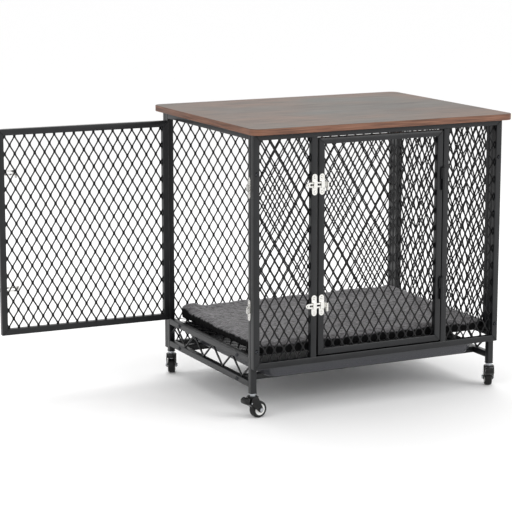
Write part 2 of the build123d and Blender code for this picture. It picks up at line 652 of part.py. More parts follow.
# ---------------------------------------------------------------- build and write the nodes
write("table_top", table_top())
write("table_screws", table_screws())

write("front_panel_frame", panel_frame(FRONT_BOTTOM, -HALF_D, (-MULLION_X - TUBE, MULLION_X)))
left_mesh, right_front_mesh = front_meshes()
write("front_mesh_left", left_mesh)
write("front_mesh_right", right_front_mesh)
write("rear_panel_frame", panel_frame(REAR_BOTTOM, HALF_D - TUBE))
write("rear_mesh", rear_mesh())
write("right_panel_frame", right_panel_frame())
write("right_mesh", right_mesh())
for name, (side_x, side_y) in CORNERS.items():
    write(f"post_{name}", post(side_x, side_y))
write("top_rail_left", top_rail_left())
write("side_rails_upper", side_rails(UPPER_RAIL_Z))
write("side_rails_lower", side_rails(LOWER_RAIL_Z))
write("truss_wires", truss_wires())
write("cross_tubes_upper", cross_tubes(UPPER_RAIL_Z))
write("cross_tubes_lower", cross_tubes(LOWER_RAIL_Z))
write("frame_bolts", frame_bolts())
write("leg_plugs", leg_plugs())
write("floor_mesh", floor_mesh())

door_frame, door_mesh = front_door()
write("front_door_frame", door_frame)
write("front_door_mesh", door_mesh)
swing_frame, swing_mesh = side_door()
write("side_door_frame", [swing_open(tube) for tube in swing_frame])
write("side_door_mesh", swing_open(swing_mesh))
frame_knuckles, hinge_pins, front_knuckles, side_knuckles = hinges()
write("hinge_frame_knuckles", frame_knuckles)
write("hinge_pins", hinge_pins)
write("front_door_knuckles", front_knuckles)
write("side_door_knuckles", [swing_open(part) for part in side_knuckles])

keepers, front_bodies, side_bodies = [], [], []
for height in LATCH_HEIGHTS:
    keepers += [on_front(part, height) for part in keeper_parts()] + side_keeper(height)
    front_bodies += [on_front(part, height) for part in latch_body_parts()]
    side_bodies += [swing_open(on_side(part, height)) for part in latch_body_parts()]
write("latch_keepers", keepers)
write("front_latch_plates", front_bodies)
write("side_latch_plates", side_bodies)
for level, height in zip(("lower", "upper"), LATCH_HEIGHTS):
    write(f"front_bolt_{level}", on_front(slide_bolt(), height))
    drawn_back = Pos(LATCH_TRAVEL, 0, 0) * slide_bolt()
    write(f"side_bolt_{level}", swing_open(on_side(drawn_back, height)))

write("tray", tray())
write("pad", pad())

write("caster_stems", [caster_at(name, caster_stem()) for name in CORNERS])
for name in CORNERS:
    write(f"caster_fork_{name}", caster_at(name, caster_fork(name)))
    write(f"caster_axle_{name}", [caster_at(name, part) for part in caster_axle(name)])
    write(f"caster_hub_{name}", caster_at(name, caster_hub()))
    write(f"caster_tyre_{name}", caster_at(name, caster_tyre()))
for name in BRAKED:
    write(f"caster_brake_{name}", caster_at(name, caster_brake()))
print("open crate's middle is at X =", round(ORIGIN_X, 2))
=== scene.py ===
# %% [markdown]
# # A furniture-style wire dog crate
#
# The crate is a cage of square steel tube with expanded-metal panels, under a board that makes it
# a side table. This lesson gives each part its finish, and builds again the parts whose charm is
# in their small shapes: rounded tubes, twisted mesh, and a plush pad.

# %% Load the frame
import json
import math

import bmesh
import bpy
from mathutils import Matrix, Vector, noise

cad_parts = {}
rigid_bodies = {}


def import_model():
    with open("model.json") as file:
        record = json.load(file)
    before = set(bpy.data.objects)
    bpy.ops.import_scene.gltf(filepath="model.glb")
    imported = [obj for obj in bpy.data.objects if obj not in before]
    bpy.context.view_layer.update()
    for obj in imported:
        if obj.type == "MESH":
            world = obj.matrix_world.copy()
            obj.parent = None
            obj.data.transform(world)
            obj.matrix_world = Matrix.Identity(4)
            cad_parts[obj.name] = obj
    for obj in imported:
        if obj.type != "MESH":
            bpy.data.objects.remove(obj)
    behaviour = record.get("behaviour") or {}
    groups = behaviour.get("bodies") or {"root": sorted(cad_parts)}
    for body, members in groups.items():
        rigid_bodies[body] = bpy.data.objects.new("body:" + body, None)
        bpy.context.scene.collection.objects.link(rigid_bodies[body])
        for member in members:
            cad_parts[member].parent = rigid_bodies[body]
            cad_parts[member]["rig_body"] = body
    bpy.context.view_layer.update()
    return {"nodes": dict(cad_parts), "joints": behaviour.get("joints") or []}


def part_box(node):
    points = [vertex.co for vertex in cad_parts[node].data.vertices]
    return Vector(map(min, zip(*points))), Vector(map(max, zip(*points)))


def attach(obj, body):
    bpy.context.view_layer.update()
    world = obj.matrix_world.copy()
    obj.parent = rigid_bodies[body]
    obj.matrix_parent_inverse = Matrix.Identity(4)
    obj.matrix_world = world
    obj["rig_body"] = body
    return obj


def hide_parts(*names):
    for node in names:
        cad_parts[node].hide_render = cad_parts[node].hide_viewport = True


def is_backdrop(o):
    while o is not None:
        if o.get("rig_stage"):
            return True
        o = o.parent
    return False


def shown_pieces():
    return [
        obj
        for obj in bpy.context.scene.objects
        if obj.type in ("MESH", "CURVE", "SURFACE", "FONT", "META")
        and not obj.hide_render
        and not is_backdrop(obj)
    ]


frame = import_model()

MM = 0.001
SAME_POINT = 1e-6                           # points closer than this, in metres, are one point
nodes = frame["nodes"]

# %% [markdown]
# ## A few habits first
#
# An operator works on everything that is selected, and the import leaves its nodes selected.
# So each piece starts from nothing selected.  In edit mode the faces and edges to work on are
# picked in code by where they are, which is what the hand and the eye do in the viewport.


# %% Selecting and editing
def make_active(piece):
    """Select this piece alone."""
    bpy.ops.object.select_all(action="DESELECT")
    piece.select_set(True)
    bpy.context.view_layer.objects.active = piece


def start_edit(piece):
    """Open a piece in edit mode, with nothing of it selected."""
    make_active(piece)
    bpy.ops.object.mode_set(mode="EDIT")
    bpy.ops.mesh.select_mode(type="EDGE")
    bpy.ops.mesh.select_all(action="DESELECT")


def select_edges(piece, wanted):
    """In edit mode, select the edges whose two ends satisfy wanted(a, b)."""
    shape = bmesh.from_edit_mesh(piece.data)
    for edge in shape.edges:
        edge.select_set(wanted(edge.verts[0].co, edge.verts[1].co))
    bmesh.update_edit_mesh(piece.data)


def finish_edit():
    bpy.ops.object.mode_set(mode="OBJECT")


def apply_place(piece):
    """Put a piece's place, turn and scale into its mesh, so that its object sits at the origin."""
    make_active(piece)
    bpy.ops.object.transform_apply(location=True, rotation=True, scale=True)


def join(pieces, name):
    """Join several pieces into one mesh with this name."""
    bpy.ops.object.select_all(action="DESELECT")
    for piece in pieces:
        piece.select_set(True)
    bpy.context.view_layer.objects.active = pieces[0]
    if len(pieces) > 1:
        bpy.ops.object.join()
    pieces[0].name = name
    return pieces[0]


def apply_modifiers(piece):
    make_active(piece)
    for modifier in list(piece.modifiers):
        bpy.ops.object.modifier_apply(modifier=modifier.name)


def stand_for(piece, *names):
    """The piece rides on the body of the CAD nodes it replaces, which it hides."""
    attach(piece, nodes[names[0]]["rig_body"])
    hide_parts(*names)


def triangles(piece):
    return sum(len(face.vertices) - 2 for face in piece.data.polygons)


print("helpers to select, edit, join and count pieces are ready")

# %% [markdown]
# ## Colours and a way to wire nodes
#
# Colours are written as the hex values that a colour picker shows, which are sRGB.  Shaders want
# linear light, so one function turns them.  A second small function adds a node, sets it and
# links it.  Every material below is written with these two, and with one pattern in millimetres.


# %% Colour and node helpers
def linear(hex_colour):
    """An sRGB hex colour as linear RGBA."""
    channels = [int(hex_colour[i:i + 2], 16) / 255 for i in (1, 3, 5)]
    light = [c / 12.92 if c <= 0.04045 else ((c + 0.055) / 1.055) ** 2.4 for c in channels]
    return (*light, 1.0)


def add_node(tree, kind, inputs=None, stops=(), **settings):
    """Add a node.  Each input is given a value or a socket to link from, and stops fill its ramp."""
    node = tree.nodes.new(kind)
    for name, value in settings.items():
        setattr(node, name, value)
    for name, value in (inputs or {}).items():
        if isinstance(value, bpy.types.NodeSocket):
            tree.links.new(value, node.inputs[name])
        else:
            node.inputs[name].default_value = value
    if stops:
        places = node.color_ramp.elements
        while len(places) < len(stops):
            places.new(0.5)
        for element, (place, colour) in zip(places, stops):
            element.position = place
            element.color = linear(colour)
    return node


def new_material(name):
    """A material with one Principled shader, and the object's own coordinates in metres."""
    material = bpy.data.materials.new(name)
    material.use_nodes = True
    tree = material.node_tree
    shader = tree.nodes["Principled BSDF"]
    place = add_node(tree, "ShaderNodeTexCoord").outputs["Object"]
    return material, tree, shader, place


def grain(tree, place, size_mm, stretch=(1, 1, 1), detail=3.0, roughness=0.5):
    """A pattern whose grains are size_mm wide, stretched by the given factors along X, Y and Z."""
    scale = [1 / factor for factor in stretch]
    stretched = add_node(tree, "ShaderNodeMapping", {"Vector": place, "Scale": scale})
    inputs = {"Vector": stretched.outputs["Vector"], "Scale": 1 / (size_mm * MM),
              "Detail": detail, "Roughness": roughness}
    return add_node(tree, "ShaderNodeTexNoise", inputs).outputs["Fac"]


print("sRGB #808080 is", round(linear("#808080")[0], 3), "in linear light")

# %% [markdown]
# ## Powder coat on the tubes and on the mesh
#
# The steel is powder coated: dry paint dust is baked until it flows into a skin about 0.08 mm
# thick.  It is a dielectric, so it isn't metallic, and it keeps a slight orange peel about a
# millimetre across that breaks up every reflection.  The tubes are a satin charcoal.  The mesh
# has a coat of the same kind in a deeper black, with less gleam.


# %% Powder-coat materials
PEEL_DEPTH = 0.06 * MM                      # deeper than the real relief, so that it shows


def powder_coat(name, dark, light, roughness, gleam, peel_mm):
    material, tree, shader, place = new_material(name)
    cloud = grain(tree, place, 45, detail=2)
    tone = add_node(tree, "ShaderNodeValToRGB", {"Fac": cloud}, [(0.35, dark), (0.65, light)])
    tree.links.new(tone.outputs["Color"], shader.inputs["Base Color"])
    shader.inputs["Roughness"].default_value = roughness
    shader.inputs["Specular IOR Level"].default_value = gleam
    peel = grain(tree, place, peel_mm, detail=2)
    bump = add_node(tree, "ShaderNodeBump", {"Height": peel, "Strength": 1.0, "Distance": PEEL_DEPTH})
    tree.links.new(bump.outputs["Normal"], shader.inputs["Normal"])
    return material


# The charcoal skin gives the eye a soft line of light along every rounded tube edge.
tube_coat = powder_coat("powder_coated_steel_tube", "#101113", "#17181a", roughness=0.32,
                        gleam=0.36, peel_mm=1.2)
# On the strands it gives the eye a thin dark line with a faint gleam on one slope.
mesh_coat = powder_coat("powder_coated_expanded_steel", "#09090a", "#0f0f10", roughness=0.36,
                        gleam=0.22, peel_mm=0.9)
print("powder coats:", tube_coat.name, mesh_coat.name)

# %% [markdown]
# ## Square tubes with rounded corners
#
# Drawn square tube is never sharp: its corners have a radius of about the wall thickness.  That
# radius catches the light and is what makes a bar look like tube.  Each tube is a cube stretched
# to its size.  Its four long edges are bevelled, and where the frame is mitred its ends are cut
# at 45 degrees.  A small bevel round the cut leaves the fine seam of a welded corner.

# %% One tube
TUBE = 15 * MM
TUBE_CORNER = 1.6 * MM
MITRE_EASE = 0.8 * MM


def add_tube(low, high):
    """A tube between two corners, with its long edges rounded."""
    low, high = Vector(low), Vector(high)
    size = high - low
    bpy.ops.object.select_all(action="DESELECT")
    bpy.ops.mesh.primitive_cube_add(size=1, location=(low + high) / 2)
    tube = bpy.context.active_object
    tube.scale = size
    apply_place(tube)
    along = max(range(3), key=lambda axis: size[axis])
    start_edit(tube)
    select_edges(tube, lambda a, b: abs(a[along] - b[along]) > size[along] / 2)
    bpy.ops.mesh.bevel(offset=TUBE_CORNER, segments=3, affect="EDGES")
    finish_edit()
    return tube


def cut_end(tube, point, outward):
    """Cut a tube's end off along a plane, close it, and ease the cut's rim."""
    point, outward = Vector(point), Vector(outward).normalized()
    start_edit(tube)
    bpy.ops.mesh.select_all(action="SELECT")
    bpy.ops.mesh.bisect(plane_co=point, plane_no=outward, use_fill=True, clear_outer=True)

    def on_cut(a, b):
        return all(abs((end - point).dot(outward)) < SAME_POINT for end in (a, b))

    select_edges(tube, on_cut)
    bpy.ops.mesh.bevel(offset=MITRE_EASE, segments=1, affect="EDGES")
    finish_edit()


def mitred_frame(low, high, depth_axis):
    """Four mitred tubes round a rectangle, in the plane across depth_axis."""
    low, high = Vector(low), Vector(high)
    across = 1 - depth_axis
    middle = (low + high) / 2
    tubes = []
    for axis, other in ((across, 2), (2, across)):
        for side in (0, 1):
            a, b = low.copy(), high.copy()
            if side:
                a[other] = high[other] - TUBE
            else:
                b[other] = low[other] + TUBE
            tube = add_tube(a, b)
            for end in (low, high):
                corner = middle.copy()
                corner[axis] = end[axis]
                corner[other] = (high if side else low)[other]
                outward = Vector((0, 0, 0))
                outward[axis] = 1 if end is high else -1
                outward[other] = -1 if side else 1
                cut_end(tube, corner, outward)
            tubes.append(tube)
    return tubes


print("tube:", round(TUBE / MM), "mm square, corners rounded by", round(TUBE_CORNER / MM, 1), "mm")

# %% [markdown]
# ## The cage
#
# The front and rear panels are mitred frames, bolted to four posts that stand just inside them.
# Rails join the posts along each side, and cross tubes between the rails carry the floor and the
# tray.  Every size below is read from the CAD node that the piece stands for.


# %% Read the tubes' sizes
def loose_boxes(node):
    """The box of each separate solid of a node, found by joining triangles that share points."""
    copy = nodes[node].data.copy()
    shape = bmesh.new()
    shape.from_mesh(copy)
    bmesh.ops.remove_doubles(shape, verts=shape.verts, dist=SAME_POINT)
    boxes, seen = [], set()
    for start in shape.verts:
        if start in seen:
            continue
        group, queue = [], [start]
        seen.add(start)
        while queue:
            vertex = queue.pop()
            group.append(vertex.co.copy())
            for edge in vertex.link_edges:
                other = edge.other_vert(vertex)
                if other not in seen:
                    seen.add(other)
                    queue.append(other)
        low = Vector([min(co[i] for co in group) for i in range(3)])
        high = Vector([max(co[i] for co in group) for i in range(3)])
        boxes.append((low, high))
    shape.free()
    bpy.data.meshes.remove(copy)
    return boxes


print("the upper side rails are", len(loose_boxes("side_rails_upper")), "separate tubes")


# %% Posts, rails and panels
SMOOTH_BELOW = math.radians(30)             # a sharper edge than this stays a crisp edge


def dress(piece, material):
    """Give a new piece its material and smooth all but its true edges."""
    piece.data.materials.clear()
    piece.data.materials.append(material)
    make_active(piece)
    bpy.ops.object.shade_smooth_by_angle(angle=SMOOTH_BELOW)


def straight_tubes(node):
    """A tube for each solid of a node whose tubes run straight and stand apart."""
    return [add_tube(low, high) for low, high in loose_boxes(node)]


def panel_frame(node, depth_axis, mullions=()):
    """A mitred frame the size of a CAD node, with uprights from the given X places."""
    low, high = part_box(node)
    tubes = mitred_frame(low, high, depth_axis)
    for x in mullions:
        tubes.append(add_tube((x, low.y, low.z + TUBE), (x + TUBE, high.y, high.z - TUBE)))
    return tubes


mesh_left, mesh_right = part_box("front_mesh_left"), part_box("front_mesh_right")
mullion_places = (mesh_left[1].x, mesh_right[0].x - TUBE)
frame_pieces = {
    "front_panel_frame": panel_frame("front_panel_frame", 1, mullion_places),
    "rear_panel_frame": panel_frame("rear_panel_frame", 1),
    "right_panel_frame": panel_frame("right_panel_frame", 0),
    "front_door_frame": panel_frame("front_door_frame", 1),
}
for node in ("post_front_left", "post_front_right", "post_rear_left", "post_rear_right",
             "top_rail_left", "side_rails_upper", "side_rails_lower",
             "cross_tubes_upper", "cross_tubes_lower"):
    frame_pieces[node] = straight_tubes(node)
for node, tubes in frame_pieces.items():
    piece = join(tubes, node + "_rounded")
    dress(piece, tube_coat)
    stand_for(piece, node)
    print(piece.name, len(tubes), "tubes,", triangles(piece), "triangles")

# %% [markdown]
# ## The open side door
#
# The big door stands open by 92 degrees.  A frame that is square to the axes is far easier to
# build, so the door is built closed and then swung about its hinge, as the real one is.

# %% Swing about the side hinge
side_joint = next(j for j in frame["joints"] if j["name"] == "side_door_hinge")
hinge = Vector(side_joint["pos_m"])
open_angle = math.radians(side_joint["range_deg"][1])
swing = Matrix.Translation(hinge) @ Matrix.Rotation(-open_angle, 4, "Z") @ Matrix.Translation(-hinge)


def closed_box(node):
    """Box of a side-door node once the door is swung shut."""
    shut = swing.inverted()
    corners = [shut @ vertex.co for vertex in nodes[node].data.vertices]
    low = Vector([min(co[i] for co in corners) for i in range(3)])
    high = Vector([max(co[i] for co in corners) for i in range(3)])
    return low, high


door_low, door_high = closed_box("side_door_frame")
side_frame = join(mitred_frame(door_low, door_high, 0), "side_door_frame_rounded")
side_frame.data.transform(swing)
dress(side_frame, tube_coat)
stand_for(side_frame, "side_door_frame")
print("side door,", triangles(side_frame), "triangles, height", round(door_high.z - door_low.z, 4))

# %% [markdown]
# ## Expanded-metal mesh
#
# Expanded metal is one steel sheet, slit in short rows and pulled open.  What is left are
# ribbons that zigzag from bond to bond, each twisted out of the sheet's plane, so that one slope
# of every diamond catches the light and the other stays dark.  One period of one ribbon is
# modelled by extruding its section from bond to bond.  Arrays repeat it, and four cuts trim the
# field to its tube frame, with each end just inside the tube wall where it is welded.

# %% One ribbon period
MESH_PITCH = (25 * MM, 42.5 * MM)           # diamond width and height
RIBBON = (4.4 * MM, 1.7 * MM)               # width and thickness of a ribbon
BOND_SHARE = 0.6                            # part of its half width that a ribbon keeps in a bond
RIBBON_TWIST = math.radians(14)
BOND = 3.6 * MM                             # length of a bond between two ribbons
BEND = 2.2 * MM                             # length over which a ribbon bends out of its bond
BEND_SHARE = 0.82                           # how far it still is towards the bond after the bend
RIBBON_CHAMFER = 0.28                       # edge chamfer, as a share of the thickness
WELD_OVERLAP = 0.4 * MM                     # how far a cut end reaches into its tube


def ribbon_section(width, thickness, twist):
    """Corners of a flat ribbon's section, with its four edges chamfered, turned by the twist."""
    chamfer = RIBBON_CHAMFER * thickness
    x, y = width / 2, thickness / 2
    corners = [(x, y - chamfer), (x - chamfer, y), (chamfer - x, y), (-x, y - chamfer),
               (-x, chamfer - y), (chamfer - x, -y), (x - chamfer, -y), (x, chamfer - y)]
    turn = Matrix.Rotation(twist, 3, "Z")
    return [turn @ Vector((*corner, 0)) for corner in corners]


def ribbon_path(pitch, width, twist, bond):
    """Points along one period: up beside one bond column, across, up beside the next, and back."""
    middle, half = pitch[0] / 4, pitch[1] / 2
    reach = middle - BOND_SHARE * width / 2 * math.cos(twist)
    out = BOND_SHARE * width / 2 * math.sin(twist)
    climb = [(0, -1), (bond / 2, -1), (bond / 2 + BEND, -BEND_SHARE),
             (half - bond / 2 - BEND, BEND_SHARE), (half - bond / 2, 1), (half, 1)]
    climb += [(half + z, -side) for z, side in climb[1:]]
    return [Vector((middle + side * reach, -side * out, z)) for z, side in climb]


def ribbon_period(pitch, ribbon, twist, bond):
    """One period of a zigzag ribbon, rising along Z between two bond columns."""
    bpy.ops.object.select_all(action="DESELECT")
    bpy.ops.mesh.primitive_circle_add(vertices=8, radius=1, location=(0, 0, 0))
    piece = bpy.context.active_object
    points = ribbon_path(pitch, ribbon[0], twist, bond)
    for vertex, corner in zip(piece.data.vertices, ribbon_section(*ribbon, twist)):
        vertex.co = points[0] + corner
    start_edit(piece)
    bpy.ops.mesh.select_all(action="SELECT")
    for here, there in zip(points, points[1:]):
        bpy.ops.mesh.extrude_region_move(TRANSFORM_OT_translate={"value": there - here})
    finish_edit()
    return piece


path = ribbon_path(MESH_PITCH, RIBBON[0], RIBBON_TWIST, BOND)
print("one period of a ribbon has", len(path) - 1, "stretches and rises", round(path[-1].z / MM, 1), "mm")


# %% Panels of mesh
ARRAY_MERGE = 1e-5                          # metres within which the ends of two periods join


def repeat(piece, count, offset):
    modifier = piece.modifiers.new("repeat", "ARRAY")
    modifier.count = count
    modifier.use_relative_offset = False
    modifier.use_constant_offset = True
    modifier.constant_offset_displace = offset
    modifier.use_merge_vertices = True
    modifier.merge_threshold = ARRAY_MERGE


def expanded_panel(width, height):
    """A field of expanded metal in the XZ plane about the origin, trimmed to width and height."""
    pitch = MESH_PITCH
    piece = ribbon_period(pitch, RIBBON, RIBBON_TWIST, BOND)
    rows = int(height / pitch[1]) + 3
    columns = int(width / pitch[0]) + 3
    repeat(piece, rows, (0, 0, pitch[1]))
    repeat(piece, 2, (pitch[0] / 2, 0, pitch[1] / 2))
    repeat(piece, columns, (pitch[0], 0, 0))
    apply_modifiers(piece)
    left = -pitch[0] * (columns // 2)
    bottom = -pitch[1] * (rows // 2) - pitch[1] / 2
    piece.data.transform(Matrix.Translation((left, 0, bottom)))
    start_edit(piece)
    for normal, reach in (((1, 0, 0), width / 2), ((-1, 0, 0), width / 2),
                          ((0, 0, 1), height / 2), ((0, 0, -1), height / 2)):
        bpy.ops.mesh.select_all(action="SELECT")
        bpy.ops.mesh.bisect(plane_co=Vector(normal) * reach, plane_no=normal, use_fill=True,
                            clear_outer=True)
    bpy.ops.mesh.select_all(action="SELECT")
    bpy.ops.mesh.normals_make_consistent(inside=False)
    finish_edit()
    return piece


def fit_panel(low, high):
    """Expanded metal that fills the box of a flat CAD sheet standing up."""
    size, middle = high - low, (low + high) / 2
    turned = size.y > size.x
    width = (size.y if turned else size.x) + 2 * WELD_OVERLAP
    piece = expanded_panel(width, size.z + 2 * WELD_OVERLAP)
    turn = Matrix.Rotation(math.radians(90 if turned else 0), 4, "Z")
    piece.data.transform(Matrix.Translation(middle) @ turn)
    return piece


def hang_mesh(piece, node):
    """Name, coat and report a field of mesh that stands for a CAD node."""
    piece.name = node + "_strands"
    dress(piece, mesh_coat)
    stand_for(piece, node)
    print(piece.name, triangles(piece), "triangles")


for node in ("front_mesh_left", "front_mesh_right", "front_door_mesh", "rear_mesh", "right_mesh"):
    hang_mesh(fit_panel(*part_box(node)), node)
side_mesh = fit_panel(*closed_box("side_door_mesh"))
side_mesh.data.transform(swing)
hang_mesh(side_mesh, "side_door_mesh")

# %% [markdown]
# ## The mesh floor
#
# The floor under the pad is cut from the same sheet.  It lies flat on the cross tubes, so the
# upright field is laid down by a quarter turn about X.

# %% Floor sheet
floor_low, floor_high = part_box("floor_mesh")
floor_size = floor_high - floor_low
floor_strands = expanded_panel(floor_size.x, floor_size.y)
lay_down = Matrix.Rotation(math.radians(-90), 4, "X")
floor_strands.data.transform(Matrix.Translation((floor_low + floor_high) / 2) @ lay_down)
hang_mesh(floor_strands, "floor_mesh")

# %% [markdown]
# ## The board top
#
# The top is fibreboard under a printed melamine foil, the rustic brown that flat-pack tables
# use.  The print runs along the front: long dark streaks, warm patches and grey weathered ones.
# The edge band is a plainer, redder print.  The node's own normal tells the face from the edge.


# %% Board material
FOIL_DEPTH = 0.05 * MM                      # how deep the printed streaks are embossed


def board_foil():
    material, tree, shader, place = new_material("printed_melamine_board")
    drift = grain(tree, place, 150, stretch=(3.2, 1, 1), detail=4, roughness=0.6)
    face = add_node(tree, "ShaderNodeValToRGB", {"Fac": drift}, [
        (0.30, "#3a2c22"), (0.44, "#5a4434"), (0.56, "#6e5340"), (0.70, "#4b3d31")])
    patch = grain(tree, place, 240, stretch=(1.6, 1, 1), detail=2)
    grey = add_node(tree, "ShaderNodeValToRGB", {"Fac": patch}, [(0.42, "#000000"), (0.62, "#ffffff")])
    inputs = {"Factor": grey.outputs["Color"], "A": face.outputs["Color"], "B": linear("#56534c")}
    weathered = add_node(tree, "ShaderNodeMix", inputs, data_type="RGBA")
    lines = grain(tree, place, 5, stretch=(26, 1, 1), detail=5, roughness=0.7)
    dark = add_node(tree, "ShaderNodeValToRGB", {"Fac": lines}, [(0.38, "#7d6f66"), (0.58, "#ffffff")])
    inputs = {"Factor": 0.75, "A": weathered.outputs["Result"], "B": dark.outputs["Color"]}
    streaked = add_node(tree, "ShaderNodeMix", inputs, data_type="RGBA", blend_type="MULTIPLY")
    edge_lines = grain(tree, place, 3, stretch=(30, 30, 1), detail=4, roughness=0.6)
    band = add_node(tree, "ShaderNodeValToRGB", {"Fac": edge_lines}, [
        (0.32, "#4a2f22"), (0.55, "#744e3b"), (0.72, "#85604c")])
    normal = add_node(tree, "ShaderNodeNewGeometry").outputs["Normal"]
    upward = add_node(tree, "ShaderNodeSeparateXYZ", {"Vector": normal}).outputs["Z"]
    on_face = add_node(tree, "ShaderNodeValToRGB", {"Fac": upward}, [
        (0.55, "#000000"), (0.9, "#ffffff")])
    inputs = {"Factor": on_face.outputs["Color"], "A": band.outputs["Color"],
              "B": streaked.outputs["Result"]}
    colour = add_node(tree, "ShaderNodeMix", inputs, data_type="RGBA")
    tree.links.new(colour.outputs["Result"], shader.inputs["Base Color"])
    gloss = add_node(tree, "ShaderNodeMapRange", {"Value": lines, "To Min": 0.52, "To Max": 0.38})
    tree.links.new(gloss.outputs["Result"], shader.inputs["Roughness"])
    shader.inputs["Specular IOR Level"].default_value = 0.35
    bump = add_node(tree, "ShaderNodeBump", {"Height": lines, "Strength": 1.0, "Distance": FOIL_DEPTH})
    tree.links.new(bump.outputs["Normal"], shader.inputs["Normal"])
    return material


def paint_node(node, material):
    """A CAD node whose shape is right keeps its mesh and gets its finish."""
    for slot in nodes[node].material_slots:
        slot.material = material


# The foil gives the eye long dark streaks in brown, grey weathered patches and a satin sheen.
board = board_foil()
paint_node("table_top", board)
print("board finish:", board.name)

# %% [markdown]
# ## Metal fittings
#
# The latches are steel with bright nickel plate: a mirror with faint polishing lines.  Stems,
# axles and screws are zinc plated, which is duller and a little blue.  The frame bolts are
# blackened.  Hinges are welded before coating, so they take the tube's powder coat.


# %% Metal materials
POLISH_DEPTH = 0.02 * MM


# Real polishing lines are finer than a tenth of a millimetre.  These are coarser, so they show.
def plated(name, colour, roughness, line_mm):
    material, tree, shader, place = new_material(name)
    shader.inputs["Base Color"].default_value = linear(colour)
    shader.inputs["Metallic"].default_value = 1.0
    brushed = grain(tree, place, line_mm, stretch=(1, 1, 9), detail=3)
    low, high = roughness
    worn = add_node(tree, "ShaderNodeMapRange", {"Value": brushed, "To Min": low, "To Max": high})
    tree.links.new(worn.outputs["Result"], shader.inputs["Roughness"])
    inputs = {"Height": brushed, "Strength": 1.0, "Distance": POLISH_DEPTH}
    tree.links.new(add_node(tree, "ShaderNodeBump", inputs).outputs["Normal"], shader.inputs["Normal"])
    return material


# Bright and a little warm: the latches are the lightest spots on the front.
nickel = plated("nickel_plated_steel", "#d9d8d4", roughness=(0.14, 0.30), line_mm=0.5)
# Duller and bluer than nickel, as stems and axles are.
zinc = plated("zinc_plated_steel", "#b9bcc0", roughness=(0.22, 0.42), line_mm=0.7)
# Nearly black with a hard glint, so a bolt head shows on the satin tube.
black_oxide = plated("blackened_steel", "#3a3b3e", roughness=(0.16, 0.30), line_mm=0.6)
print("metals:", nickel.name, zinc.name, black_oxide.name)


# %% Eased copies of small fittings
FITTING_EASE = 0.3 * MM
FLAT_BELOW = math.radians(1)                # faces that meet flatter than this become one face
SHARP_ABOVE = math.radians(35)              # edges sharper than this are eased


def eased_copy(node, ease, segments=1):
    """A copy of a CAD node with its sharp edges eased, as tumbled or moulded parts have."""
    piece = bpy.data.objects.new(node + "_eased", nodes[node].data.copy())
    bpy.context.scene.collection.objects.link(piece)
    start_edit(piece)
    bpy.ops.mesh.select_all(action="SELECT")
    bpy.ops.mesh.customdata_custom_splitnormals_clear()
    bpy.ops.mesh.remove_doubles(threshold=SAME_POINT)
    bpy.ops.mesh.dissolve_limited(angle_limit=FLAT_BELOW)
    bpy.ops.mesh.select_all(action="DESELECT")
    bpy.ops.mesh.edges_select_sharp(sharpness=SHARP_ABOVE)
    bpy.ops.mesh.bevel(offset=ease, segments=segments, affect="EDGES", clamp_overlap=True)
    finish_edit()
    return piece


for node in ("latch_keepers", "front_latch_plates", "side_latch_plates", "front_bolt_lower",
             "front_bolt_upper", "side_bolt_lower", "side_bolt_upper"):
    piece = eased_copy(node, FITTING_EASE)
    dress(piece, nickel)
    stand_for(piece, node)
    print(piece.name, triangles(piece), "triangles")
paint_node("frame_bolts", black_oxide)
paint_node("table_screws", zinc)
paint_node("caster_stems", zinc)
for node in ("hinge_frame_knuckles", "hinge_pins", "front_door_knuckles", "side_door_knuckles",
             "truss_wires"):
    paint_node(node, tube_coat)

# %% [markdown]
# ## Plastics: tray, plugs and casters
#
# The tray is vacuum-formed polystyrene with a satin skin.  Caster forks are moulded nylon and
# glossy, the treads are rubbery and dull, and the wheel centres are white polypropylene.


# %% Plastic materials
def moulded(name, colour, roughness, skin_mm, skin_depth_mm, gleam=0.5):
    material, tree, shader, place = new_material(name)
    shader.inputs["Base Color"].default_value = linear(colour)
    shader.inputs["Specular IOR Level"].default_value = gleam
    skin = grain(tree, place, skin_mm, detail=2)
    low, high = roughness
    sheen = add_node(tree, "ShaderNodeMapRange", {"Value": skin, "To Min": low, "To Max": high})
    tree.links.new(sheen.outputs["Result"], shader.inputs["Roughness"])
    inputs = {"Height": skin, "Strength": 1.0, "Distance": skin_depth_mm * MM}
    tree.links.new(add_node(tree, "ShaderNodeBump", inputs).outputs["Normal"], shader.inputs["Normal"])
    return material


# A dark grey satin skin, lighter than the tube, with broad soft reflections.
tray_skin = moulded("vacuum_formed_polystyrene", "#35363b", (0.24, 0.34), 1.4, 0.03)
# Dull black, so the plugs vanish into the legs.
plug_nylon = moulded("moulded_nylon", "#0a0a0b", (0.4, 0.5), 0.8, 0.03, gleam=0.3)
# Deep black with small sharp highlights round every rounded edge.
fork_nylon = moulded("glossy_moulded_nylon", "#060606", (0.10, 0.20), 2.0, 0.03, gleam=0.35)
# Clean white, so that the wheels read as rings.
hub_plastic = moulded("white_polypropylene", "#e6e6e4", (0.25, 0.35), 2.0, 0.02)
# Dull black without highlights, beside the glossy fork.
tread_rubber = moulded("thermoplastic_rubber", "#0a0a0a", (0.42, 0.6), 0.8, 0.05, gleam=0.3)
paint_node("leg_plugs", plug_nylon)

